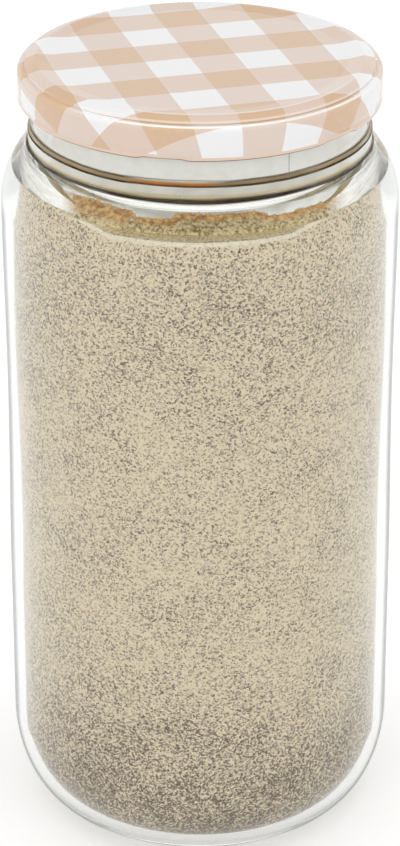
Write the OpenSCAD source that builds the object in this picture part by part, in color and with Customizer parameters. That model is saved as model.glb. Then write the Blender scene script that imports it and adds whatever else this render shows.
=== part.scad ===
// Sourdough starter jar: a tall round glass jar with a rounded heel, a twist lid
// that holds by lugs, a sealing ring in the lid and a filling of risen starter.
// Millimetres, +Z up, origin at the centre of the base. The lid is shown resting
// on the rim with its lugs in the gaps between the thread starts.

/* [Glass body] */
// Height of the glass, from the foot to the sealing rim
glass_h = 194; // [150:1:260]
// Radius of the body
body_r = 47.25; // [45:0.25:60]
// Thickness of the wall
wall_t = 2.5; // [1.8:0.1:4]
// Thickness of the base
base_t = 3.2; // [2.5:0.1:6]
// Width of the rounded heel, in from the wall
heel_w = 13.2; // [10:0.1:20]
// Height of the rounded heel
heel_h = 22.8; // [12:0.1:30]
// Width of the flat ring that the jar stands on
foot_w = 3; // [2:0.25:6]
// Rise of the base at its centre
push_up = 3; // [1.5:0.25:5]
// Depth of the shallow waist in the wall
waist_t = 0.4; // [0:0.05:0.6]
// Distance from the heel up to the waist's lower end
waist_rise = 41; // [5:1:50]
// Distance from the waist's upper end to the shoulder
waist_drop = 2; // [1:1:15]

/* [Shoulder and neck] */
// Rise of the shoulder, from the wall to the bead
shoulder_h = 15.1; // [12:0.1:17]
// Angle through which the shoulder curves before the bead
shoulder_turn = 25; // [20:1:60]
// Width of the sloping ledge inside the shoulder, out from the neck's bore
ledge_w = 2.3; // [1.5:0.1:4]
// Distance from the bead's foot down to the ledge's outer corner
ledge_drop = 4.3; // [3.5:0.1:6]
// Rise of the ledge from its outer corner to the bore
ledge_rise = 1.05; // [0.5:0.05:2]
// Rounding of the ledge's outer corner
ledge_round = 0.5; // [0.2:0.1:1]
// Rounding between the ledge and the bore
bore_round = 1.2; // [0.5:0.1:2]
// Angle between the wall's direction and the slope outside the ledge
slope_turn = 59; // [50:1:70]
// Part of the way from the ledge to the wall that the slope takes
slope_share = 0.74; // [0.5:0.01:0.85]
// Rounding between the slope and the wall
slope_round = 0.4; // [0.2:0.1:1]
// Height of the bead below the lid
bead_h = 3.6; // [3:0.1:5]
// How far the bead stands out from the neck
bead_t = 1; // [0.6:0.05:1.2]
// Rounding of the bead's edges
bead_round = 0.8; // [0.3:0.05:1]
// Radius of the neck
neck_r = 39.6; // [36:0.1:41]
// Thickness of the glass in the neck
neck_t = 3.4; // [2.8:0.1:4.2]
// Height from the top of the bead to the sealing rim
finish_h = 14.7; // [13:0.1:20]
// Rounding of the rim's edges
rim_round = 1.2; // [0.6:0.05:1.3]

/* [Thread] */
// Number of thread starts, and of lugs on the lid
start_count = 6; // [4:1:7]
// Angle that one thread start covers
thread_arc = 36; // [28:1:38]
// Angle at which a thread start slopes
thread_tilt = 3; // [1:0.25:4]
// How far a thread stands out from the neck
thread_t = 1.45; // [1:0.05:1.8]
// Height of a thread at its root
thread_h = 1.7; // [1.3:0.05:2.2]
// Clearance over a lug when the lid is tight
thread_gap = 0.4; // [0.35:0.05:0.8]
// Direction in which one lug of the open lid points
lug_phase = 18.5; // [0:0.5:60]

/* [Lid] */
// Height of the lid, from its raised ring to the curled edge
lid_h = 9.9; // [9.5:0.1:12]
// Thickness of the sheet
sheet_t = 0.3; // [0.2:0.05:0.35]
// Thickness of the curled edge
curl_t = 1.35; // [1.1:0.05:1.6]
// Clearance between the curled edge and the threads
curl_gap = 0.35; // [0.25:0.05:0.6]
// Depth of the centre panel below the raised ring
panel_drop = 0.55; // [0.3:0.05:0.8]
// Width of the slope between the panel and the raised ring
slope_w = 3.8; // [2.5:0.1:5]
// Distance from the lid's side in to the top of the slope
ring_in = 4.45; // [4:0.05:5]
// Width of the raised ring's top
ring_w = 2.6; // [2:0.1:2.8]
// Fall of the raised ring's top towards the side
ring_fall = 0.8; // [0.4:0.05:1]
// Small step outside the raised ring
step_t = 0.75; // [0.2:0.05:0.9]
// Rounding between the lid's top and its side
corner_r = 1.5; // [1:0.05:1.6]
// Angle that one lug covers
lug_arc = 11; // [8:0.5:12]
// Height of a lug
lug_h = 1.1; // [0.8:0.05:1.3]
// Height of a lug's underside above the curled edge's lowest line
lug_lift = 0.85; // [0.1:0.05:1]
// Clearance between a lug and the neck
lug_gap = 0.35; // [0.25:0.05:0.6]

/* [Sealing ring] */
// Thickness of the ring below the lid's raised ring
seal_t = 0.94; // [0.8:0.02:1.4]
// How far the ring reaches past the glass rim on each side
seal_over = 0.3; // [0.1:0.05:0.5]
// Clearance above and below the ring
seat_gap = 0.05; // [0.02:0.01:0.1]

/* [Filling] */
// Distance from the sealing rim down to the starter
headspace = 25.5; // [24:0.5:60]
// Gap between the starter and the glass
fill_gap = 0.25; // [0.15:0.05:0.3]

/* [Hidden] */
$fn = 96;

// Number of straight steps in one rounded stretch
arc_steps = 14;
// Distance below which two points count as one
same_point = 0.001;
// How far a thread's root and a lug's outer end reach into what carries them
root_t = 0.5;
// Part of a thread's height that its sloping flanks take, at the bottom and the top
flank_low = 0.25;
flank_high = 0.4;
// Angle at which the bead's lower rounding meets the shoulder
crease_turn = 60;
// Angle through which the inside of the shoulder curves in before the slope
inner_turn = 30;
// Least height of that curve
inner_least = 4;

bead_r = neck_r + bead_t;
bead_low = glass_h - finish_h - bead_h;
bead_high = glass_h - finish_h;
shoulder_low = bead_low - shoulder_h;
neck_in = neck_r - neck_t;
wall_in = body_r - wall_t;
ledge_r = neck_in + ledge_w;
ledge_z = bead_low - ledge_drop;
slope_r = ledge_r + slope_share * (wall_in - ledge_r);
slope_z = ledge_z - (slope_r - ledge_r) / tan(slope_turn);
inner_low = min(shoulder_low, slope_z - inner_least);
foot_r = body_r - heel_w;
waist_low = heel_h + waist_rise;
waist_high = shoulder_low - waist_drop;

thread_r = neck_r + thread_t;
start_step = 360 / start_count;
lid_r = thread_r + curl_gap + curl_t;
crest_z = glass_h + seat_gap + seal_t + seat_gap + sheet_t;
crest_r = lid_r - ring_in;
lid_low = crest_z - lid_h;
lug_high = lid_low + lug_lift + lug_h;
fill_z = glass_h - headspace;

// Points on an ellipse about [cx, cz] from angle a to angle b
function arc(cx, cz, rx, rz, a, b) =
    [for (i = [0:arc_steps]) let (t = a + (b - a) * i / arc_steps) [cx + rx * cos(t), cz + rz * sin(t)]];

// Points on a shallow dome from the axis, at height low + rise, out to radius r at height low
function dome(r, low, rise) =
    let (ball = (r * r + rise * rise) / (2 * rise))
    [for (i = [0:arc_steps]) let (x = r * i / arc_steps) [x, low + rise - ball + sqrt(ball * ball - x * x)]];

function reversed(p) = [for (i = [len(p) - 1:-1:0]) p[i]];

// The line of points without a point that repeats the one before it
function distinct(p) = [for (i = [0:len(p) - 1]) if (i == 0 || norm(p[i] - p[max(i - 1, 0)]) > same_point) p[i]];

function unit(v) = v / norm(v);
function right(v) = [v[1], -v[0]];

// Points that round the corner at b, on the way from a to c, about as an arc of radius r does
function bend(a, b, c, r) =
    let (u = unit(a - b), v = unit(c - b))
    let (cut = r * tan(acos(-u * v) / 2))
    [for (i = [0:arc_steps]) let (s = i / arc_steps) b + cut * ((1 - s) * (1 - s) * u + s * s * v)];

// Corner direction at point i of a line of points, towards its right-hand side
function mitre(p, i) =
    let (last = len(p) - 1)
    let (a = right(unit(p[min(i, last - 1) + 1] - p[min(i, last - 1)])))
    let (b = right(unit(p[max(i, 1)] - p[max(i, 1) - 1])))
    (a + b) / (1 + a * b);

// The line of points moved by t towards its right-hand side
function moved(p, t) = [for (i = [0:len(p) - 1]) p[i] + t * mitre(p, i)];

// Outside of the glass, from the centre of the base up to the rim's flat top
shoulder_x = bead_r - bead_round * (1 - cos(crease_turn));
shoulder_top = bead_low + bead_round * (1 - sin(crease_turn));
shoulder_rx = (body_r - shoulder_x) / (1 - cos(shoulder_turn));
shoulder_rz = (shoulder_top - shoulder_low) / sin(shoulder_turn);
outside = distinct(concat(
    dome(foot_r - foot_w, 0, push_up),
    arc(foot_r, heel_h, heel_w, heel_h, -90, 0),
    [for (i = [1:arc_steps - 1]) let (s = i / arc_steps)
        [body_r - waist_t * pow(sin(180 * s), 2), waist_low + (waist_high - waist_low) * s]],
    arc(body_r - shoulder_rx, shoulder_low, shoulder_rx, shoulder_rz, 0, shoulder_turn),
    [for (p = arc(bead_r - bead_round, bead_low + bead_round, bead_round, bead_round, -crease_turn, 0))
        if (p[1] > shoulder_top) p],
    arc(bead_r - bead_round, bead_high - bead_round, bead_round, bead_round, 0, 90),
    [[neck_r, bead_high + (bead_t - bead_round) / 2]],
    arc(neck_r - rim_round, glass_h - rim_round, rim_round, rim_round, 0, 90)));

// Inside of the glass, from the centre of the floor up to the bore
inner_rx = (wall_in - slope_r) / (1 - cos(inner_turn));
inner_rz = (slope_z - inner_low) / sin(inner_turn);
inner_curve = arc(wall_in - inner_rx, inner_low, inner_rx, inner_rz, 0, inner_turn);
slope_corner = [slope_r, slope_z];
ledge_corner = [ledge_r, ledge_z];
bore_corner = [neck_in, ledge_z + ledge_rise];
inside = distinct(concat(
    dome(foot_r, base_t, push_up),
    arc(foot_r, heel_h, heel_w - wall_t, heel_h - base_t, -90, 0),
    [for (i = [0:arc_steps - 1]) inner_curve[i]],
    bend(inner_curve[arc_steps - 1], slope_corner, ledge_corner, slope_round),
    bend(slope_corner, ledge_corner, bore_corner, ledge_round),
    bend(ledge_corner, bore_corner, [neck_in, glass_h], bore_round)));
mouth = arc(neck_in + rim_round, glass_h - rim_round, rim_round, rim_round, 180, 90);

// Upper side of the lid's sheet, from the centre of the panel to the curled edge
step_r = crest_r + ring_w;
step_z = crest_z - ring_fall;
sheet = distinct(concat(
    [[0, crest_z - panel_drop], [crest_r - slope_w, crest_z - panel_drop], [crest_r, crest_z], [step_r, step_z]],
    arc(lid_r - corner_r, step_z - step_t - corner_r, corner_r, corner_r, 90, 0),
    [[lid_r, lid_low + curl_t / 2]]));

module ring_of(points) {
    rotate_extrude() polygon(points);
}

module thread_starts() {
    low_rise = thread_h * flank_low;
    high_fall = thread_h * flank_high;
    root_share = root_t / thread_t;
    for (i = [0:start_count - 1])
        rotate([0, 0, lug_phase + (i - 0.5) * start_step])
            translate([0, 0, lug_high + thread_gap])
                rotate([thread_tilt, 0, 0])
                    rotate([0, 0, -thread_arc / 2])
                        rotate_extrude(angle = thread_arc)
                            polygon([
                                [neck_r - root_t, -low_rise * root_share],
                                [thread_r, low_rise],
                                [thread_r, thread_h - high_fall],
                                [neck_r - root_t, thread_h + high_fall * root_share]]);
}

// Each lug is a tab that reaches inward from the curled edge
module lugs() {
    lug_in = neck_r + lug_gap;
    for (i = [0:start_count - 1])
        rotate([0, 0, lug_phase + i * start_step - lug_arc / 2])
            translate([0, 0, lug_high - lug_h])
                rotate_extrude(angle = lug_arc)
                    translate([lug_in, 0])
                        square([lid_r - curl_t / 2 - lug_in, lug_h]);
}

module glass_jar() {
    color([0.86, 0.9, 0.88, 0.4]) union() {
        ring_of(concat(outside, reversed(mouth), reversed(inside)));
        thread_starts();
    }
}

module starter() {
    color([0.78, 0.72, 0.62]) intersection() {
        ring_of(concat(moved(inside, -fill_gap), [[0, glass_h]]));
        cylinder(h = fill_z, r = body_r);
    }
}

module sealing_ring() {
    seal_in = neck_in - seal_over;
    seal_out = neck_r + seal_over;
    low = glass_h + seat_gap;
    under = moved(sheet, sheet_t + seat_gap);
    color([0.9, 0.86, 0.78]) ring_of(concat(
        [[seal_in, low], [seal_out, low], [seal_out, lookup(seal_out, under)]],
        reversed([for (p = under) if (p[0] > seal_in && p[0] < seal_out) p]),
        [[seal_in, lookup(seal_in, under)]]));
}

module lid() {
    color([0.88, 0.78, 0.68]) union() {
        ring_of(concat(sheet, reversed(moved(sheet, sheet_t))));
        rotate_extrude()
            translate([lid_r - curl_t / 2, lid_low + curl_t / 2])
                circle(r = curl_t / 2);
        lugs();
    }
}

glass_jar();
starter();
sealing_ring();
lid();
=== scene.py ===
import math

import bpy
import numpy as np
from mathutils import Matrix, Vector, noise


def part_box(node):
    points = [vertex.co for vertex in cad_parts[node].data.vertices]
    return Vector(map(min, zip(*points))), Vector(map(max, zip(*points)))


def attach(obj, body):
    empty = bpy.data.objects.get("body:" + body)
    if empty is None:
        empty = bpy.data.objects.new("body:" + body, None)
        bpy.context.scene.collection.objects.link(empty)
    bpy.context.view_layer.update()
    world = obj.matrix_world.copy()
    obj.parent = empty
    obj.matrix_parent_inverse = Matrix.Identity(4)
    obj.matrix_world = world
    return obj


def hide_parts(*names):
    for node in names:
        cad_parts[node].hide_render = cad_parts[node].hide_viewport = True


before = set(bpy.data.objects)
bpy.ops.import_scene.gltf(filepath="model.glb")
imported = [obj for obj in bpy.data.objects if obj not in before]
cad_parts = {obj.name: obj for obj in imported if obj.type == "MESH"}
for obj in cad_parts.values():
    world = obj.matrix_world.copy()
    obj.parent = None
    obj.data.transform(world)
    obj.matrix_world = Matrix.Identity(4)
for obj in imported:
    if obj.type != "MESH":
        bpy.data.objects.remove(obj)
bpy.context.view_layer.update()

# Sizes are millimetres in the frame's axes, and become metres when a mesh is made
MM = 0.001


def size_of(node):
    """Lowest and highest corner of a CAD node, in millimetres."""
    low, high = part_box(node)
    return low / MM, high / MM


# Sizes that the frame gives
glass_high = size_of("glass_jar")[1]
lid_low, lid_high = size_of("lid")
starter_low, starter_high = size_of("starter")
seal_low, seal_high = size_of("sealing_ring")
BODY_R = glass_high.x
GLASS_H = glass_high.z
LID_R = lid_high.x
LID_LOW = lid_low.z
CREST_Z = lid_high.z
FILL_Z = starter_high.z
SEAL_R = seal_high.x
SEAL_LOW = seal_low.z

# Glass body
WALL_T = 2.5
BASE_T = 3.2
HEEL_W, HEEL_H = 13.2, 22.8
FOOT_W = 3.0
PUSH_UP = 3.0
WAIST_T, WAIST_RISE, WAIST_DROP = 0.4, 41.0, 2.0
# Shoulder, bead and neck
SHOULDER_H, SHOULDER_TURN = 15.1, 25.0
LEDGE_W, LEDGE_DROP, LEDGE_RISE, LEDGE_ROUND, BORE_ROUND = 2.3, 4.3, 1.05, 0.5, 1.2
SLOPE_TURN, SLOPE_SHARE, SLOPE_ROUND, INNER_TURN, INNER_DROP = 59, 0.74, 0.4, 30, 1.2
BEAD_H, BEAD_T, BEAD_ROUND = 3.6, 1.0, 0.8
CREASE_TURN = 60.0
NECK_R, NECK_T, FINISH_H, RIM_ROUND = 39.6, 3.4, 14.7, 1.2
# Thread starts and lugs
STARTS = 6
THREAD_ARC, THREAD_TILT, THREAD_T, THREAD_H = 36.0, 3.0, 1.45, 1.7
THREAD_GAP, LUG_PHASE, LUG_LIFT, LUG_H = 0.4, 18.5, 0.85, 1.1
LUG_ARC, LUG_GAP = 11.0, 0.35
# Lid
SHEET_T, CURL_T = 0.3, 1.35
PANEL_DROP, SLOPE_W, RING_IN, RING_W = 0.55, 3.8, 4.45, 2.6
RING_FALL, STEP_T, CORNER_R = 0.8, 0.75, 1.5
NOTCH_H, NOTCH_HALF = 0.45, 9.0
GROOVE_T, GROOVE_UP = 0.18, 0.45
# Gingham print, in the flat blank's own plane
CHECK_W = 10.82
CHECK_TURN = 15.7
CHECK_X, CHECK_Y = -9.82, -13.34
# Starter
FILL_GAP = 0.25
# Mould seams of the glass, as directions in degrees
SEAM_TURNS = (-59.6, 120.4)
SEAM_T, SEAM_W = 0.1, 0.5

BEAD_LOW = GLASS_H - FINISH_H - BEAD_H
BEAD_HIGH = GLASS_H - FINISH_H
SHOULDER_LOW = BEAD_LOW - SHOULDER_H
FOOT_R = BODY_R - HEEL_W
NECK_IN = NECK_R - NECK_T
WALL_IN = BODY_R - WALL_T
LEDGE_R, LEDGE_Z = NECK_IN + LEDGE_W, BEAD_LOW - LEDGE_DROP
BEAD_R = NECK_R + BEAD_T
THREAD_LOW = LID_LOW + LUG_LIFT + LUG_H + THREAD_GAP
CREST_R = LID_R - RING_IN
ROUND_STEPS = 14


def link(obj):
    bpy.context.scene.collection.objects.link(obj)
    return obj


# Lines of points in the (radius, height) plane

def arc(cx, cz, rx, rz, a, b, steps=ROUND_STEPS):
    t = np.radians(np.linspace(a, b, steps + 1))
    return np.c_[cx + rx * np.cos(t), cz + rz * np.sin(t)]


def dome(r, low, rise, steps=10):
    ball = (r * r + rise * rise) / (2 * rise)
    x = np.linspace(0, r, steps + 1)
    return np.c_[x, low + rise - ball + np.sqrt(ball * ball - x * x)]


def line(*points):
    """Joins lines of points and leaves out a point that repeats the one before."""
    p = np.vstack([np.atleast_2d(q) for q in points])
    keep = np.r_[True, np.hypot(*np.diff(p, axis=0).T) > 1e-4]
    return p[keep]


def refined(p, step):
    """The line with points added, so that no stretch is longer than step."""
    out = [p[:1]]
    for a, b in zip(p[:-1], p[1:]):
        n = max(1, math.ceil(np.hypot(*(b - a)) / step))
        out.append(a + (b - a) * np.linspace(0, 1, n + 1)[1:, None])
    return np.vstack(out)


def moved(p, t):
    """The line moved by t towards its right-hand side."""
    d = np.diff(p, axis=0)
    d /= np.hypot(*d.T)[:, None]
    right = np.c_[d[:, 1], -d[:, 0]]
    a, b = np.vstack([right, right[-1:]]), np.vstack([right[:1], right])
    return p + t * (a + b) / (1 + (a * b).sum(1))[:, None]


def rounded(p, radius, steps=6):
    """The line with each corner replaced by an arc of at most that radius."""
    out = [p[:1]]
    for a, b, c in zip(p[:-2], p[1:-1], p[2:]):
        u, v = a - b, c - b
        lu, lv = np.hypot(*u), np.hypot(*v)
        u, v = u / lu, v / lv
        half = math.acos(max(-1, min(1, -(u @ v)))) / 2
        if half < 0.01:
            out.append(b[None])
            continue
        cut = min(radius * math.tan(half), 0.45 * min(lu, lv))
        s = np.linspace(0, 1, steps + 1)[:, None]
        out.append((1 - s) ** 2 * (b + cut * u) + 2 * s * (1 - s) * b + s**2 * (b + cut * v))
    out.append(p[-1:])
    return line(*out)


# Meshes of revolution

def turned(name, radius, height, turns, uv=None, parts=None, marks=None):
    """A closed mesh from grids of radius and height, one row for each point of the line and one column for each
    direction in turns. A line that ends off the axis is joined to its start."""
    rows, cols = radius.shape
    t = np.radians(turns)
    co = np.stack([radius * np.cos(t), radius * np.sin(t), height], axis=2).reshape(-1, 3) * MM
    index = np.arange(rows * cols).reshape(rows, cols)
    ring = radius[0].max() > 0
    lower = np.vstack([index, index[:1]]) if ring else index
    a, b = lower[:-1], lower[1:]
    quads = np.stack([a, np.roll(a, -1, 1), np.roll(b, -1, 1), b], axis=2)
    faces, places = [], []
    for k, row in enumerate(quads):
        pole = 0 if not ring and k == 0 else 1 if not ring and k == rows - 2 else None
        if pole is None:
            faces += row.tolist()
        elif pole == 0:
            faces += [[index[0, 0], q[2], q[3]] for q in row.tolist()]
        else:
            faces += [[q[0], q[1], index[-1, 0]] for q in row.tolist()]
        places += [k] * cols
    mesh = bpy.data.meshes.new(name)
    mesh.from_pydata(co.tolist(), [], faces)
    if uv is not None:
        loops = np.zeros(len(mesh.loops), int)
        mesh.loops.foreach_get("vertex_index", loops)
        layer = mesh.uv_layers.new(name="blank")
        layer.data.foreach_set("uv", uv.reshape(-1, 2)[loops].ravel())
    for mark, grid in (marks or {}).items():
        mesh.attributes.new(mark, "FLOAT", "POINT").data.foreach_set("value", grid.ravel())
    if parts is not None:
        mesh.polygons.foreach_set("material_index", np.asarray(parts)[places])
    mesh.update()
    loose = [v for v in range(cols) if not ring and v > 0]
    if loose:
        remove_unused(mesh)
    mesh.shade_smooth()
    return link(bpy.data.objects.new(name, mesh))


def remove_unused(mesh):
    """Deletes the points at the poles that no face uses."""
    import bmesh
    work = bmesh.new()
    work.from_mesh(mesh)
    bmesh.ops.delete(work, geom=[v for v in work.verts if not v.link_faces], context="VERTS")
    bmesh.ops.recalc_face_normals(work, faces=work.faces)
    work.to_mesh(mesh)
    work.free()


def smooth_step(x):
    x = np.clip(x, 0, 1)
    return x * x * (3 - 2 * x)


def away(turns, centre):
    """Signed angle from centre to each direction, in degrees."""
    return (turns - centre + 180) % 360 - 180


# Glass

def outside_line():
    shoulder_x = BEAD_R - BEAD_ROUND * (1 - math.cos(math.radians(CREASE_TURN)))
    shoulder_top = BEAD_LOW + BEAD_ROUND * (1 - math.sin(math.radians(CREASE_TURN)))
    rx = (BODY_R - shoulder_x) / (1 - math.cos(math.radians(SHOULDER_TURN)))
    rz = (shoulder_top - SHOULDER_LOW) / math.sin(math.radians(SHOULDER_TURN))
    low, high = HEEL_H + WAIST_RISE, SHOULDER_LOW - WAIST_DROP
    s = np.linspace(0, 1, 34)[1:-1]
    waist = np.c_[BODY_R - WAIST_T * np.sin(np.pi * s) ** 2, low + (high - low) * s]
    low_bead = arc(BEAD_R - BEAD_ROUND, BEAD_LOW + BEAD_ROUND, BEAD_ROUND, BEAD_ROUND, -CREASE_TURN, 0)
    heel = arc(FOOT_R, HEEL_H, HEEL_W, HEEL_H, -90, 0, 40)
    shoulder = arc(BODY_R - rx, SHOULDER_LOW, rx, rz, 0, SHOULDER_TURN, 24)
    fade = np.linspace(0, 1, 13)[1:, None]
    fillet = np.c_[BEAD_R - BEAD_T * smooth_step(fade), BEAD_HIGH - BEAD_ROUND + (FILLET_R + BEAD_ROUND) * fade]
    rim = arc(NECK_R - RIM_ROUND, GLASS_H - RIM_ROUND, RIM_ROUND, RIM_ROUND, 0, 90)
    low_bead = low_bead[low_bead[:, 1] > shoulder_top]
    return line(dome(FOOT_R - FOOT_W, 0, PUSH_UP), heel, waist, shoulder, low_bead, fillet, rim)


def inside_line():
    heel = arc(FOOT_R, HEEL_H, HEEL_W - WALL_T, HEEL_H - BASE_T, -90, 0, 36)
    slope_r = LEDGE_R + SLOPE_SHARE * (WALL_IN - LEDGE_R)
    slope = [slope_r, LEDGE_Z - (slope_r - LEDGE_R) / math.tan(math.radians(SLOPE_TURN))]
    ledge = [LEDGE_R, LEDGE_Z]
    bore = [NECK_IN, LEDGE_Z + LEDGE_RISE]
    rx = (WALL_IN - slope_r) / (1 - math.cos(math.radians(INNER_TURN)))
    low = SHOULDER_LOW - INNER_DROP
    rz = (slope[1] - low) / math.sin(math.radians(INNER_TURN))
    curve = arc(WALL_IN - rx, low, rx, rz, 0, INNER_TURN, 16)
    foot = rounded(np.array([curve[-2], slope, ledge]), SLOPE_ROUND, 8)
    corner = rounded(np.array([slope, ledge, bore]), LEDGE_ROUND, 8)
    top = rounded(np.array([ledge, bore, [NECK_IN, GLASS_H]]), BORE_ROUND, 12)
    return line(dome(FOOT_R, BASE_T, PUSH_UP), heel, curve[:-1], foot[1:-1], corner[1:-1], top[1:-1])


FILLET_R = 1.0
GLASS_COLS = 432


def thread_height(turns, z):
    """How far the thread starts stand out of the neck, at each direction and height."""
    out = np.zeros(np.broadcast(turns, z).shape)
    for k in range(STARTS):
        d = away(turns, LUG_PHASE + (k - 0.5) * 360 / STARTS)
        low = THREAD_LOW + NECK_R * np.sin(np.radians(d)) * math.sin(math.radians(THREAD_TILT))
        up = smooth_step((z - low) / (0.25 * THREAD_H)) * smooth_step((low + THREAD_H - z) / (0.4 * THREAD_H))
        out = np.maximum(out, THREAD_T * up * smooth_step((THREAD_ARC / 2 - np.abs(d)) / 2.5))
    return out


def make_glass():
    out = refined(outside_line(), 4)
    neck = (out[:, 0] > NECK_R - 0.01) & (out[:, 1] > BEAD_HIGH)
    out = line(out[~neck & (out[:, 1] < BEAD_HIGH + FILLET_R)],
               refined(np.array([[NECK_R, BEAD_HIGH + FILLET_R], [NECK_R, GLASS_H - RIM_ROUND]]), 0.16),
               out[out[:, 1] > GLASS_H - RIM_ROUND])
    mouth = arc(NECK_IN + RIM_ROUND, GLASS_H - RIM_ROUND, RIM_ROUND, RIM_ROUND, 90, 180)
    inner = refined(inside_line(), 4)[::-1]
    whole = line(out, mouth, inner)
    near = np.linspace(-3, 3, 13) * SEAM_W / BODY_R / 4 * 180 / math.pi
    turns = np.linspace(-180, 180, GLASS_COLS, endpoint=False)
    turns = np.unique(np.round(np.concatenate([turns, *[s + near for s in SEAM_TURNS]]), 5))
    radius = np.repeat(whole[:, :1], len(turns), axis=1)
    height = np.repeat(whole[:, 1:], len(turns), axis=1)
    outer = np.arange(len(whole)) < len(out)
    radius[outer] += thread_height(turns[None], height[outer]) * (radius[outer] > NECK_R - 0.5)
    for s in SEAM_TURNS:
        across = np.abs(away(turns, s)) * math.pi / 180 * NECK_R / SEAM_W
        ridge = SEAM_T * np.exp(-4 * across**2)
        stretch = smooth_step((whole[:, 1] - HEEL_H) / 20) * outer * (whole[:, 1] < GLASS_H - RIM_ROUND)
        stretch *= whole[:, 1] > BEAD_HIGH + 0.4
        radius += ridge[None] * stretch[:, None]
    return turned("glass_jar_glass", radius, height, turns,
                  marks={"outside": np.repeat(outer[:, None], len(turns), axis=1).astype(float)})


# Starter

STARTER_COLS = 640
STARTER_STEP = 0.42
# Where the surface lies lower, at the front
DIP, DIP_HALF, DIP_EDGE = 2.4, 42.0, 16.0


def make_starter():
    inner = moved(inside_line(), -FILL_GAP)
    inner[0, 0] = 0
    wall = refined(line(inner[inner[:, 1] < FILL_Z], [np.interp(FILL_Z, inner[-40:, 1], inner[-40:, 0]), FILL_Z]),
                   STARTER_STEP)
    top = refined(np.array([wall[-1], [0, FILL_Z]]), 0.9)[1:]
    whole = line(wall, top)
    turns = np.linspace(-180, 180, STARTER_COLS, endpoint=False)
    t = np.radians(turns)
    radius = np.repeat(whole[:, :1], len(turns), axis=1)
    height = np.repeat(whole[:, 1:], len(turns), axis=1)
    x, y = radius * np.cos(t), radius * np.sin(t)
    on_top = np.arange(len(whole)) >= len(wall)
    dip = DIP * smooth_step((DIP_HALF - np.abs(away(turns, -90))) / DIP_EDGE)
    low = dip[None] * smooth_step((height - FILL_Z + 9) / 9)
    low = np.where(on_top[:, None], low * smooth_step((radius - 14) / 22), low)
    rough = grain(x, y, height, 0.9) * 0.05 + grain(x, y, height, 3.5) * 0.06
    rough = np.clip(rough + 0.06, 0, 1)
    lift = np.zeros_like(radius)
    lift[on_top] = -0.25 * np.clip(grain(x[on_top], y[on_top], height[on_top], 9) * 0.6
                                   + grain(x[on_top], y[on_top], height[on_top], 2.5) * 0.06 + 0.5, 0, 1)
    fade = np.clip(whole[:, 0] / 2, 0, 1)[:, None]
    side = ~on_top[:, None]
    normal = np.gradient(whole, axis=0)
    normal /= np.hypot(*normal.T)[:, None]
    inward = np.c_[-normal[:, 1], normal[:, 0]]
    push = rough * fade * side
    radius = np.maximum(radius + inward[:, :1] * push, 0)
    height = height + inward[:, 1:] * push + lift * fade - low
    under = np.where(side, (FILL_Z - dip)[None] - height, 9.0)
    return turned("starter_dough", radius, height, turns, parts=on_top.astype(int), marks={"under": under})


def grain(x, y, z, cell):
    """Smooth noise from -1 to 1 with bumps about cell wide."""
    flat = np.stack([x, y, z], axis=-1).reshape(-1, 3) / cell
    return np.array([noise.noise(Vector(p)) for p in flat.tolist()]).reshape(x.shape)


# Lid and sealing ring

LID_COLS = 480


def sheet_line():
    step_r = CREST_R + RING_W
    step_z = CREST_Z - RING_FALL
    top = rounded(np.array([[0, CREST_Z - PANEL_DROP], [CREST_R - SLOPE_W, CREST_Z - PANEL_DROP],
                            [CREST_R, CREST_Z - 0.02], [step_r, step_z]]), 1.2)
    step = rounded(np.array([[CREST_R, CREST_Z - 0.02], [step_r, step_z], [step_r + 0.12, step_z - STEP_T],
                             [LID_R - CORNER_R, step_z - STEP_T]]), 0.12)
    corner = arc(LID_R - CORNER_R, step_z - STEP_T - CORNER_R, CORNER_R, CORNER_R, 90, 0, 12)
    groove_z = LID_LOW + CURL_T + GROOVE_UP
    up = np.linspace(1, -1, 15)[:, None]
    groove = np.c_[LID_R - GROOVE_T * (1 - up**2) ** 2, groove_z + up * (groove_z - LID_LOW - CURL_T / 2)]
    return line(top[:-1], step[1:], corner, groove)


def lug_mask(turns, half):
    out = np.zeros_like(turns)
    for k in range(STARTS):
        d = np.abs(away(turns, LUG_PHASE + k * 360 / STARTS))
        out = np.maximum(out, smooth_step(1 - (d - half * 0.55) / (half * 0.45)))
    return out


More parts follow.
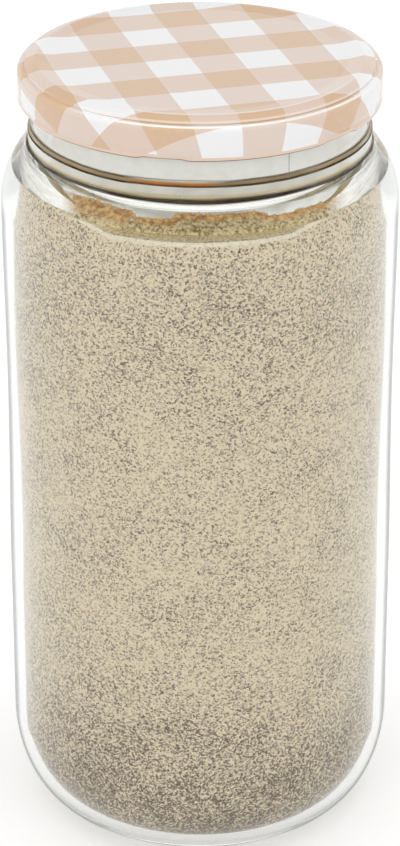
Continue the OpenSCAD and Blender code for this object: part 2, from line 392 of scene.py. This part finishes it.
def make_lid():
    sheet = refined(sheet_line(), 1.6)
    curl_r = CURL_T / 2
    curl_x, curl_z = LID_R - curl_r, LID_LOW + curl_r
    curl = arc(curl_x, curl_z, curl_r, curl_r, 0, -250, 26)[1:]
    under = moved(sheet, SHEET_T)[::-1]
    under = under[under[:, 1] > curl_z + curl_r + 0.2]
    whole = line(sheet, curl, under)
    turns = np.linspace(-180, 180, LID_COLS, endpoint=False)
    radius = np.repeat(whole[:, :1], LID_COLS, axis=1)
    height = np.repeat(whole[:, 1:], LID_COLS, axis=1)
    notch = lug_mask(turns, NOTCH_HALF)
    lug = lug_mask(turns, LUG_ARC / 2)
    in_curl = np.zeros(len(whole), bool)
    in_curl[len(sheet):len(sheet) + len(curl)] = True
    flat = 1 - (1 - LUG_H / CURL_T) * lug[None] * in_curl[:, None]
    low = smooth_step((curl_z + 2.2 - height) / 2.2)
    reach = curl_x - curl_r - (NECK_R + LUG_GAP)
    inward = np.clip((curl_x - radius) / curl_r, 0, 1) * in_curl[:, None]
    rise = NOTCH_H + (LUG_LIFT - NOTCH_H) * inward
    height = LID_LOW + (height - LID_LOW) * flat + rise * notch[None] * low
    radius = radius - reach * lug[None] * inward
    along = np.r_[0, np.cumsum(np.hypot(*np.diff(whole, axis=0).T))]
    t = np.radians(turns)
    uv = np.stack([along[:, None] * np.cos(t), along[:, None] * np.sin(t)], axis=2)
    printed = len(sheet) + 2
    parts = [0 if k < printed else 1 for k in range(len(whole))]
    return turned("lid_sheet", radius, height, turns, uv=uv, parts=parts)


def make_seal():
    inner_r = NECK_IN - (SEAL_R - NECK_R)
    sheet = moved(sheet_line(), SHEET_T + 0.05)
    top = sheet[(sheet[:, 0] > inner_r + 0.3) & (sheet[:, 0] < SEAL_R - 0.3) & (sheet[:, 1] > GLASS_H)]
    outer_z = np.interp(SEAL_R, sheet[:60, 0], sheet[:60, 1])
    inner_z = np.interp(inner_r, sheet[:60, 0], sheet[:60, 1])
    whole = line([inner_r, SEAL_LOW + 0.25], [inner_r + 0.3, SEAL_LOW], [SEAL_R - 0.3, SEAL_LOW],
                 [SEAL_R, SEAL_LOW + 0.25], [SEAL_R, outer_z - 0.2], top[::-1], [inner_r, inner_z - 0.15])
    turns = np.linspace(-180, 180, 240, endpoint=False)
    radius = np.repeat(whole[:, :1], len(turns), axis=1)
    height = np.repeat(whole[:, 1:], len(turns), axis=1)
    return turned("sealing_ring_compound", radius, height, turns)


# Materials

def linear(r, g, b):
    """A colour given as it is seen, from 0 to 255, for a shader."""
    def one(c):
        c /= 255
        return c / 12.92 if c <= 0.04045 else ((c + 0.055) / 1.055) ** 2.4
    return (one(r), one(g), one(b), 1.0)


class Tree:
    """Short calls for making one material's nodes."""

    def __init__(self, name):
        self.material = bpy.data.materials.new(name)
        self.material.use_nodes = True
        self.tree = self.material.node_tree
        self.tree.nodes.clear()
        self.out = self.node("ShaderNodeOutputMaterial")

    def node(self, kind, **settings):
        n = self.tree.nodes.new(kind)
        for key, value in settings.items():
            setattr(n, key, value)
        return n

    def put(self, socket, value):
        if isinstance(value, bpy.types.NodeSocket):
            self.tree.links.new(value, socket)
        else:
            socket.default_value = value

    def math(self, operation, a, b=0.0, c=0.0, clamp=False):
        n = self.node("ShaderNodeMath", operation=operation, use_clamp=clamp)
        for socket, value in zip(n.inputs, (a, b, c)):
            self.put(socket, value)
        return n.outputs[0]

    def mix(self, share, a, b, blend="MIX"):
        n = self.node("ShaderNodeMix", data_type="RGBA", blend_type=blend)
        self.put(n.inputs[0], share)
        self.put(n.inputs[6], a)
        self.put(n.inputs[7], b)
        return n.outputs[2]

    def noise(self, place, scale, detail=3.0, roughness=0.55):
        n = self.node("ShaderNodeTexNoise")
        self.put(n.inputs["Vector"], place)
        n.inputs["Scale"].default_value = scale
        n.inputs["Detail"].default_value = detail
        n.inputs["Roughness"].default_value = roughness
        return n.outputs["Fac"]

    def ramp(self, value, low, high, out_low=0.0, out_high=1.0):
        n = self.node("ShaderNodeMapRange")
        self.put(n.inputs[0], value)
        for socket, v in zip(list(n.inputs)[1:5], (low, high, out_low, out_high)):
            socket.default_value = v
        return n.outputs[0]

    def object_place(self):
        return self.node("ShaderNodeTexCoord").outputs["Object"]

    def bump(self, height, strength, distance):
        n = self.node("ShaderNodeBump")
        self.put(n.inputs["Height"], height)
        n.inputs["Strength"].default_value = strength
        n.inputs["Distance"].default_value = distance
        return n.outputs[0]

    def principled(self, **values):
        n = self.node("ShaderNodeBsdfPrincipled")
        for key, value in values.items():
            self.put(n.inputs[key.replace("_", " ")], value)
        self.tree.links.new(n.outputs[0], self.out.inputs[0])
        return n


# Glass: painted shade for light that has been caught inside, and painted dark outlines on edges that are seen at a
# grazing angle
DEEP = 2.5
TRAPPED_SHADE_COLOUR = (226, 229, 227)
BEAD_SHADE_COLOUR = (84, 74, 52)
EDGE, EDGE_SHARE, EDGE_SHADE_COLOUR = (0.8, 0.87), 0.42, (70, 74, 70)
EDGE_FADE = (0.165, 0.158)
NECK_EDGE, NECK_EDGE_SHARE, NECK_EDGE_SHADE_COLOUR = (0.87, 0.94), 0.8, (34, 29, 20)
# Painted reflections and shade seen in the bead, as lines of diffuse colour: height, colour and share, from the bottom
# up, at the front and at the sides
LINES_LOW = ((173.55, (186, 192, 194), 0.0), (173.7, (186, 192, 194), 0.35), (173.85, (186, 192, 194), 0.0),
             (174.3, (186, 190, 190), 0.0), (174.42, (180, 186, 186), 0.35), (174.54, (186, 190, 190), 0.0))
FRONT_LINES = LINES_LOW + (
    (174.95, (50, 44, 36), 0.0), (175.1, (50, 44, 36), 0.6), (175.45, (60, 52, 40), 0.6),
    (175.6, (188, 172, 118), 0.65), (176.5, (206, 192, 146), 0.6), (176.9, (246, 240, 226), 0.5),
    (178.5, (250, 248, 240), 0.55), (178.6, (80, 46, 24), 0.9), (178.85, (110, 66, 32), 0.9),
    (179.05, (206, 120, 48), 0.85), (179.35, (232, 172, 100), 0.75), (179.6, (240, 214, 170), 0.6),
    (179.8, (226, 214, 190), 0.4), (179.88, (70, 64, 50), 0.7), (180.02, (70, 64, 50), 0.7),
    (180.1, (120, 110, 96), 0.0))
SIDE_LINES = LINES_LOW + (
    (174.95, (40, 36, 28), 0.0), (175.05, (40, 36, 28), 0.85), (175.5, (56, 48, 36), 0.85),
    (175.65, (150, 130, 96), 0.7), (176.3, (208, 184, 134), 0.7), (176.9, (246, 240, 226), 0.55),
    (178.35, (250, 248, 240), 0.55), (178.45, (44, 36, 24), 0.95), (178.85, (60, 48, 30), 0.95),
    (179.0, (186, 158, 116), 0.7), (179.4, (206, 180, 142), 0.6), (179.6, (96, 80, 52), 0.8),
    (179.85, (96, 80, 52), 0.8), (179.95, (110, 92, 62), 0.0))
BEAD_SPAN = (173.5, 180.2)


def ring_colours(m, z, lines):
    """Colour and share of the painted reflection and shade lines on the bead, at a height in metres."""
    low, high = BEAD_SPAN
    ramp = m.node("ShaderNodeValToRGB")
    m.put(ramp.inputs[0], m.ramp(z, low * MM, high * MM))
    band = ramp.color_ramp
    while len(band.elements) < len(lines):
        band.elements.new(0.5)
    for element, (height, colour, share) in zip(band.elements, lines):
        element.position = (height - low) / (high - low)
        element.color = linear(*colour)[:3] + (share,)
    return ramp.outputs[0], ramp.outputs[1]


def mixed(m, share, first, second):
    n = m.node("ShaderNodeMixShader")
    m.put(n.inputs[0], share)
    m.put(n.inputs[1], first)
    m.put(n.inputs[2], second)
    return n.outputs[0]


def diffuse(m, colour):
    n = m.node("ShaderNodeBsdfDiffuse")
    m.put(n.inputs[0], colour)
    return n.outputs[0]


def glass_material():
    m = Tree("clear_glass")
    p = m.principled(Base_Color=linear(251, 252, 250), Roughness=0.0, IOR=1.52, Transmission_Weight=1.0)
    path = m.node("ShaderNodeLightPath").outputs
    trapped = m.math("GREATER_THAN", path["Glossy Depth"], DEEP)
    clear = m.node("ShaderNodeBsdfTransparent")
    place = m.object_place()
    parts = m.node("ShaderNodeSeparateXYZ")
    m.put(parts.inputs[0], place)
    x, y, z = parts.outputs
    # Painted shade: light caught inside is let through grey, and dark brown at the bead's front
    deep = m.math("MULTIPLY", m.ramp(z, 0.1735, 0.1765), m.ramp(y, -0.006, -0.010))
    m.put(clear.inputs[0], m.mix(trapped, linear(252, 253, 251), m.mix(deep, linear(*TRAPPED_SHADE_COLOUR), linear(*BEAD_SHADE_COLOUR))))
    light = m.math("MAXIMUM", path["Is Shadow Ray"], path["Is Diffuse Ray"])
    whole = mixed(m, m.math("MAXIMUM", light, trapped), p.outputs[0], clear.outputs[0])
    seen = m.math("SUBTRACT", 1.0, m.math("MAXIMUM", light, trapped))
    radius = m.math("SQRT", m.math("ADD", m.math("POWER", x, 2.0), m.math("POWER", y, 2.0)))
    outer = m.ramp(radius, (NECK_R - 0.6) * MM, (NECK_R - 0.5) * MM)
    facing = m.node("ShaderNodeLayerWeight").outputs["Facing"]
    outside = m.node("ShaderNodeAttribute", attribute_name="outside").outputs["Fac"]
    # Painted shade: a dark outline of the body and of the neck, where they are seen at a grazing angle
    share = m.math("MULTIPLY", m.ramp(facing, *EDGE, 0, EDGE_SHARE), m.ramp(z, *EDGE_FADE, 0.25, 1))
    share = m.math("MULTIPLY", share, outside)
    whole = mixed(m, m.math("MULTIPLY", share, seen), whole, diffuse(m, linear(*EDGE_SHADE_COLOUR)))
    share = m.math("MULTIPLY", m.ramp(facing, *NECK_EDGE, 0, NECK_EDGE_SHARE), m.ramp(z, 0.1745, 0.1750))
    share = m.math("MULTIPLY", share, outer)
    whole = mixed(m, m.math("MULTIPLY", share, seen), whole, diffuse(m, linear(*NECK_EDGE_SHADE_COLOUR)))
    # Painted reflections and shade: lines on the bead, golder at the front
    wave = m.math("MULTIPLY", m.math("SUBTRACT", m.noise(place, 60, 2), 0.5), 0.0006)
    gold = m.math("MULTIPLY", m.ramp(x, -0.0175, -0.0125), m.ramp(x, 0.007, 0.001))
    height = m.math("ADD", z, wave)
    colour, line_share = ring_colours(m, height, SIDE_LINES)
    front_colour, front_share = ring_colours(m, height, FRONT_LINES)
    colour = m.mix(gold, colour, front_colour)
    line_share = m.math("ADD", m.math("MULTIPLY", line_share, m.math("SUBTRACT", 1.0, gold)),
                        m.math("MULTIPLY", front_share, gold))
    patch = m.ramp(m.noise(place, 70, 2), 0.35, 0.6, 0.6, 1)
    share = m.math("MULTIPLY", m.math("MULTIPLY", line_share, outer), m.math("MULTIPLY", patch, seen))
    whole = mixed(m, share, whole, diffuse(m, colour))
    whole = smeared(m, place, x, y, z, m.math("MULTIPLY", m.math("SUBTRACT", 1.0, outside), seen), whole)
    # Droplets inside the neck, whose white also stands in for light seen through the neck, and a painted shade line
    # along the mould's seam across them
    damp = m.math("MULTIPLY", m.ramp(radius, (NECK_IN + 0.6) * MM, (NECK_IN + 0.3) * MM), m.ramp(z, *MIST_Z))
    patchy = m.ramp(m.noise(place, 220, 3), 0.3, 0.7, MIST * 0.85, MIST)
    whole = mixed(m, m.math("MULTIPLY", damp, patchy), whole, diffuse(m, linear(250, 250, 247)))
    m.put(m.out.inputs[0], m_seam(m, x, y, z, seen, whole))
    return m.material


# Film of starter on the inside of the glass above the filling, which also serves as painted shade of the starter's top
# seen through the glass: its top at the front, and where it lies lower
FILM_TOP, FILM_SIDES = 0.17115, ((-0.031, -0.027), (0.033, 0.028))
FILM_DROPS = ((-0.0155, -0.0140, -0.0065, -0.0050, 0.0008), (0.0120, 0.0150, 0.9, 1.0, 0.0008))


def smeared(m, place, x, y, z, inside, whole):
    """The film where the starter has stood, amber at its top and khaki below, also painted shade of the starter's top
    seen through the glass.
    """
    top = m.math("ADD", FILM_TOP, m.math("MULTIPLY", m.math("SUBTRACT", m.noise(place, 150, 3), 0.5), 0.0012))
    for low, low_end, high_start, high, drop in FILM_DROPS:
        here = m.math("MULTIPLY", m.ramp(x, low, low_end), m.ramp(x, high, high_start))
        top = m.math("SUBTRACT", top, m.math("MULTIPLY", here, drop))
    speck = m.noise(place, 900, 2, 0.6)
    ragged = m.math("MULTIPLY", m.math("SUBTRACT", speck, 0.5), 0.0009)
    below = m.math("SUBTRACT", m.math("ADD", top, ragged), z)
    left = m.ramp(x, -0.0165, -0.0150, 0.0011, 0.0)
    amber = m.mix(m.ramp(speck, 0.35, 0.65), linear(166, 112, 44), linear(234, 192, 124))
    level = m.math("ADD", m.noise(place, 1400, 2, 0.6), m.math("MULTIPLY", m.noise(place, 200, 2), 0.3))
    khaki = m.mix(m.ramp(level, 0.55, 0.8), linear(226, 204, 156), linear(126, 102, 54))
    # Amber and khaki, partly a real film and partly painted shade of the starter's top behind it
    colour = m.mix(m.ramp(m.math("SUBTRACT", below, left), 0.0007, 0.0012), amber, khaki)
    share = m.math("MULTIPLY", m.ramp(below, 0.0, 0.0001, 0, 0.92), m.ramp(y, -0.020, -0.024))
    share = m.math("MULTIPLY", share, m.math("MULTIPLY", m.ramp(x, *FILM_SIDES[0]), m.ramp(x, *FILM_SIDES[1])))
    share = m.math("MULTIPLY", share, m.ramp(z, 0.1678, 0.1682))
    return mixed(m, m.math("MULTIPLY", share, inside), whole, diffuse(m, colour))


SEAM_LINE, SEAM_SHADE_COLOUR = 0.00011, (66, 56, 44)


def m_seam(m, x, y, z, seen, whole):
    """A thin line of painted shade along each seam of the neck."""
    turn = math.radians(SEAM_TURNS[0])
    across = m.math("ADD", m.math("MULTIPLY", x, -math.sin(turn)), m.math("MULTIPLY", y, math.cos(turn)))
    near = m.ramp(m.math("ABSOLUTE", across), SEAM_LINE, SEAM_LINE * 0.5)
    share = m.math("MULTIPLY", m.math("MULTIPLY", near, m.ramp(z, 0.1796, 0.1800, 0, 0.8)), seen)
    radius = m.math("SQRT", m.math("ADD", m.math("POWER", x, 2.0), m.math("POWER", y, 2.0)))
    outer = m.ramp(radius, (NECK_R - 0.3) * MM, (NECK_R - 0.2) * MM)
    return mixed(m, m.math("MULTIPLY", share, outer), whole, diffuse(m, linear(*SEAM_SHADE_COLOUR)))


# White share of the droplets, also standing in for light seen through the neck, and the heights where they begin
MIST, MIST_Z = 0.85, (0.1775, 0.1785)


def crumb_material():
    """The starter's side against the glass: fine bubbles, darker towards the bottom, with a painted highlight along the
    top edge at the front.
    """
    m = Tree("starter")
    place = m.object_place()
    parts = m.node("ShaderNodeSeparateXYZ")
    m.put(parts.inputs[0], place)
    z = parts.outputs[2]
    colour, fine, dark = crumb_colour(m, place, z)
    under = m.node("ShaderNodeAttribute", attribute_name="under").outputs["Fac"]
    # Painted highlight: a pale streak just under the top edge, at the front
    rim = m.math("MULTIPLY", m.ramp(under, 1.1, 0.7, 0, 0.7), m.ramp(parts.outputs[1], -0.028, -0.034))
    colour = m.mix(rim, colour, linear(244, 234, 212))
    p = m.principled(Base_Color=colour, Roughness=0.72)
    m.put(p.inputs["Normal"], m.bump(fine, 0.35, 0.0004))
    return m.material


def crumb_colour(m, place, z):
    low = m.ramp(z, 0.056, 0.0, 0, LOW_DARK)
    high = m.math("MULTIPLY", m.math("MULTIPLY", m.ramp(z, 0.112, 0.140), m.ramp(z, 0.166, 0.152)), 0.05)
    shift = m.math("ADD", m.math("ADD", low, high), m.ramp(m.noise(place, 90, 2), 0.3, 0.7, -0.06, 0.06))
    cells = m.node("ShaderNodeTexVoronoi", feature="F1")
    m.put(cells.inputs["Vector"], place)
    cells.inputs["Scale"].default_value = GRAIN_CELLS
    kind = m.node("ShaderNodeSeparateColor")
    m.put(kind.inputs[0], cells.outputs["Color"])
    fine = m.noise(place, GRAIN_FINE, 2, 0.6)
    level = m.math("ADD", m.math("MULTIPLY", kind.outputs[0], 0.62), m.math("MULTIPLY", fine, 0.5))
    dark = m.ramp(m.math("ADD", level, shift), 0.45, 0.90)
    colour = m.mix(m.math("POWER", dark, 1.5), linear(*PALE), linear(*DARK))
    return colour, fine, m.math("POWER", dark, 1.5)


GRAIN_CELLS, LOW_DARK = 2700, 0.36
GRAIN_FINE = 1500
DARK, PALE = (80, 54, 12), (231, 212, 182)


def skin_material():
    """The starter's wet top: pale foam, a liquid towards the front, and plain starter at the glass."""
    m = Tree("starter_skin")
    place = m.object_place()
    parts = m.node("ShaderNodeSeparateXYZ")
    m.put(parts.inputs[0], place)
    x, y, z = parts.outputs
    plain, fine, dark = crumb_colour(m, place, z)
    speck = m.noise(place, 700, 2, 0.6)
    patch = m.noise(place, 160, 3)
    radius = m.math("SQRT", m.math("ADD", m.math("POWER", x, 2.0), m.math("POWER", y, 2.0)))
    sway = m.math("MULTIPLY", m.math("SUBTRACT", m.noise(place, 120, 3), 0.5), 0.003)
    pale = m.mix(fine, linear(248, 245, 238), linear(255, 254, 250))
    liquid = m.mix(speck, linear(58, 46, 30), linear(112, 92, 58))
    wet = m.ramp(m.math("ADD", y, sway), -0.0180, -0.0190)
    top = m.mix(wet, pale, liquid)
    edge = m.ramp(m.math("ADD", radius, sway), 0.0325, 0.0345)
    crust = m.mix(m.math("MULTIPLY", dark, 0.8), m.mix(patch, linear(240, 212, 142), linear(252, 232, 182)), linear(116, 88, 36))
    top = m.mix(edge, top, crust)
    p = m.principled(Base_Color=top, Roughness=0.5, Coat_Roughness=0.12, Coat_IOR=SKIN_IOR)
    p.inputs["Specular IOR Level"].default_value = 0.0
    m.put(p.inputs["Coat Weight"], m.math("SUBTRACT", 1.0, m.math("MAXIMUM", edge, wet)))
    m.put(p.inputs["Normal"], m.bump(fine, 0.1, 0.0002))
    return m.material


SKIN_IOR = 2.2


# Painted highlights along the sheet's bends, and a painted shade line in the groove: how far along the sheet, half
# width, colour and share
BEND_HIGHLIGHTS_AND_SHADE = ((38.4, 0.42, (255, 246, 236), 0.75), (41.35, 0.36, (255, 242, 228), 0.65), (41.85, 0.22, (150, 118, 96), 0.55),
         (42.85, 0.45, (255, 254, 250), 0.95))
CURL_TINT = (234, 207, 184)


def print_material():
    """Beige and white gingham, laid out on the flat blank before it was drawn, with painted highlights and shade on the
    ring, and painted shade on the skirt and where the sheet is seen edge-on.
    """
    m = Tree("gingham_print")
    place = m.node("ShaderNodeUVMap", uv_map="blank").outputs[0]
    turn = m.node("ShaderNodeVectorRotate", rotation_type="Z_AXIS")
    m.put(turn.inputs["Vector"], place)
    turn.inputs["Center"].default_value = (CHECK_X, CHECK_Y, 0)
    turn.inputs["Angle"].default_value = -math.radians(CHECK_TURN)
    parts = m.node("ShaderNodeSeparateXYZ")
    m.put(parts.inputs[0], turn.outputs[0])

    def band(value, start):
        cell = m.math("PINGPONG", m.math("DIVIDE", m.math("SUBTRACT", value, start + CHECK_W / 2), CHECK_W), 1.0)
        return m.ramp(cell, 0.497, 0.503)

    across = band(parts.outputs[0], CHECK_X)
    along = band(parts.outputs[1], CHECK_Y)
    white, one, two, both = [linear(*c) for c in
                             ((254, 254, 255), (236, 216, 202), (235, 210, 192), (226, 190, 154))]
    colour = m.mix(along, m.mix(across, white, one), m.mix(across, two, both))
    flat = m.node("ShaderNodeSeparateXYZ")
    m.put(flat.inputs[0], place)
    along = m.math("SQRT", m.math("ADD", m.math("POWER", flat.outputs[0], 2.0), m.math("POWER", flat.outputs[1], 2.0)))
    # Painted highlights and shade on the ring's bends, at the front only
    for middle, half, bend_tone, share in BEND_HIGHLIGHTS_AND_SHADE:
        near = m.ramp(m.math("ABSOLUTE", m.math("SUBTRACT", along, middle)), half, half * 0.4, 0, share)
        near = m.math("MULTIPLY", near, m.ramp(parts.outputs[1], -22, -34))
        colour = m.mix(near, colour, linear(*bend_tone))
    # Painted shade: the print a little darker on the skirt
    colour = m.mix(m.ramp(along, 43.2, 44.2, 0, 0.08), colour, linear(170, 160, 160))
    # Painted shade: the print darker and deeper in colour where the sheet is seen edge-on
    facing = m.node("ShaderNodeLayerWeight").outputs["Facing"]
    colour = m.mix(m.ramp(facing, 0.72, 0.95, 0, 0.6), colour, colour, blend="MULTIPLY")
    edge = np.hypot(*np.diff(sheet_line(), axis=0).T).sum()
    colour = m.mix(m.ramp(along, edge - CURL_T + 0.95, edge - CURL_T + 1.0), colour, linear(*CURL_TINT))
    print_grain = m.noise(m.object_place(), 900, 2)
    colour = m.mix(m.ramp(print_grain, 0.3, 0.7, 0, 0.05), colour, linear(255, 250, 244))
    p = m.principled(Base_Color=colour, Roughness=0.4, Coat_Weight=1.0, Coat_Roughness=0.05)
    p.inputs["Specular IOR Level"].default_value = 0.15
    m.put(p.inputs["Normal"], m.bump(m.noise(m.object_place(), 240, 2), 0.04, 0.0003))
    return m.material


def lacquer_material():
    """White lacquer on the panel's inside, gold on the skirt's and the curl's, with painted shadow turning the gold
    dark brown towards the lid's edge.
    """
    m = Tree("inside_lacquer")
    place = m.object_place()
    parts = m.node("ShaderNodeSeparateXYZ")
    m.put(parts.inputs[0], place)
    haze = m.noise(place, 300, 3)
    white = m.mix(haze, linear(236, 232, 224), linear(246, 243, 236))
    gold = m.mix(haze, linear(214, 150, 66), linear(232, 176, 92))
    skirt = m.ramp(parts.outputs[2], 0.1925, 0.1915)
    radius = m.math("SQRT", m.math("ADD", m.math("POWER", parts.outputs[0], 2.0), m.math("POWER", parts.outputs[1], 2.0)))
    # Painted shadow: the gold turns dark brown towards the lid's edge, over the curl and the skirt's inside
    gold = m.mix(m.ramp(radius, (LID_R - CURL_T) * MM, (LID_R - CURL_T / 2) * MM), gold, linear(96, 58, 40))
    m.principled(Base_Color=m.mix(skirt, white, gold), Metallic=0.0, Roughness=0.3, Coat_Weight=0.5)
    return m.material


def seal_material():
    m = Tree("sealing_compound")
    haze = m.noise(m.object_place(), 500, 3)
    colour = m.mix(haze, linear(226, 214, 190), linear(236, 226, 204))
    p = m.principled(Base_Color=colour, Roughness=0.5)
    m.put(p.inputs["Normal"], m.bump(haze, 0.1, 0.0003))
    return m.material


# Stage

FLOOR_HALF = 4.0


def sight(m):
    """1 for rays that show the background: from the camera, mirrored, or through glass."""
    path = m.node("ShaderNodeLightPath").outputs
    return m.math("MAXIMUM", path["Is Camera Ray"],
                  m.math("MAXIMUM", path["Is Glossy Ray"], path["Is Transmission Ray"]))


def make_floor():
    mesh = bpy.data.meshes.new("floor")
    h = FLOOR_HALF
    mesh.from_pydata([(-h, -h, 0), (h, -h, 0), (h, h, 0), (-h, h, 0)], [], [(0, 1, 2, 3)])
    floor = link(bpy.data.objects.new("floor", mesh))
    m = Tree("floor")
    p = m.principled(Base_Color=(0.8, 0.8, 0.8, 1), Roughness=0.9)
    p.inputs["Specular IOR Level"].default_value = 0.0
    p.inputs["Emission Color"].default_value = (1, 1, 1, 1)
    m.put(p.inputs["Emission Strength"], m.math("MULTIPLY", sight(m), 0.45))
    mesh.materials.append(m.material)


def make_world():
    """A white room: brighter at the level of the floor than overhead."""
    world = bpy.data.worlds.new("studio")
    bpy.context.scene.world = world
    world.use_nodes = True
    nodes, links = world.node_tree.nodes, world.node_tree.links
    back = nodes["Background"]
    place = nodes.new("ShaderNodeTexCoord")
    parts = nodes.new("ShaderNodeSeparateXYZ")
    links.new(place.outputs["Generated"], parts.inputs[0])
    total = None
    for low, high, value in WORLD_FALLS:
        fall = nodes.new("ShaderNodeMapRange")
        fall.interpolation_type = "SMOOTHSTEP"
        links.new(parts.outputs[2], fall.inputs[0])
        for socket, v in zip(list(fall.inputs)[1:5], (low, high, value, 0.0)):
            socket.default_value = v
        add = nodes.new("ShaderNodeMath")
        add.operation = "ADD"
        links.new(fall.outputs[0], add.inputs[0])
        if total:
            links.new(total, add.inputs[1])
        else:
            add.inputs[1].default_value = WORLD_HIGH
        total = add.outputs[0]
    path = nodes.new("ShaderNodeLightPath")
    calm = nodes.new("ShaderNodeMath")
    calm.operation = "MINIMUM"
    links.new(total, calm.inputs[0])
    calm.inputs[1].default_value = WORLD_MIRRORED
    for kind, value in (("Is Glossy Ray", calm.outputs[0]), ("Is Transmission Ray", None)):
        seen = nodes.new("ShaderNodeMix")
        links.new(path.outputs[kind], seen.inputs[0])
        links.new(total, seen.inputs[2])
        if value:
            links.new(value, seen.inputs[3])
        else:
            seen.inputs[3].default_value = WORLD_SEEN
        total = seen.outputs[0]
    links.new(total, back.inputs[1])
    back.inputs[0].default_value = (1, 1, 1, 1)


WORLD_FALLS = ((0.26, 0.33, 0.7), (0.33, 0.62, 0.4))
WORLD_HIGH, WORLD_SEEN, WORLD_MIRRORED = 0.4, 1.3, 0.9


def make_lamp(name, place, wide, high, power, glints=True):
    data = bpy.data.lights.new(name, "AREA")
    data.shape = "ELLIPSE"
    data.size = wide
    data.size_y = high
    data.energy = power
    lamp = link(bpy.data.objects.new(name, data))
    lamp.location = place
    if place[0] or place[1]:
        lamp.rotation_euler = (Vector((0, 0, 0.1)) - Vector(place)).to_track_quat("-Z", "Y").to_euler()
    lamp.visible_glossy = glints


# The photograph is 400 by 846 pixels, and the long side sets the sensor's fit
IMAGE_W, IMAGE_H = 400, 846
FOCAL_PX = 3266
SENSOR = 36.0
CAMERA_PLACE = (0.0, -0.7209, 0.4543)
CAMERA_DROP = 26.18


def make_camera():
    data = bpy.data.cameras.new("camera")
    data.sensor_width = SENSOR
    data.lens = FOCAL_PX / IMAGE_H * SENSOR
    camera = link(bpy.data.objects.new("camera", data))
    camera.location = CAMERA_PLACE
    camera.rotation_euler = (math.radians(90 - CAMERA_DROP), 0, 0)
    bpy.context.scene.camera = camera


make_camera()
make_world()
make_floor()
make_lamp("overhead", (0.0, 0.0, 1.6), 1.7, 0.16, 7.2)
make_lamp("key", (-0.75, -1.15, 0.62), 0.5, 0.25, 2.0, glints=False)
make_lamp("fill", (0.95, -0.7, 0.45), 0.4, 0.2, 0.8, glints=False)

jar = make_glass()
jar.data.materials.append(glass_material())
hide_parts("glass_jar")
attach(jar, "jar")

starter = make_starter()
starter.data.materials.append(crumb_material())
starter.data.materials.append(skin_material())
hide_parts("starter")
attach(starter, "jar")

seal = make_seal()
seal.data.materials.append(seal_material())
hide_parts("sealing_ring")
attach(seal, "seal")

lid = make_lid()
lid.data.materials.append(print_material())
lid.data.materials.append(lacquer_material())
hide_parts("lid")
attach(lid, "lid")

bpy.context.scene.view_settings.view_transform = "Standard"
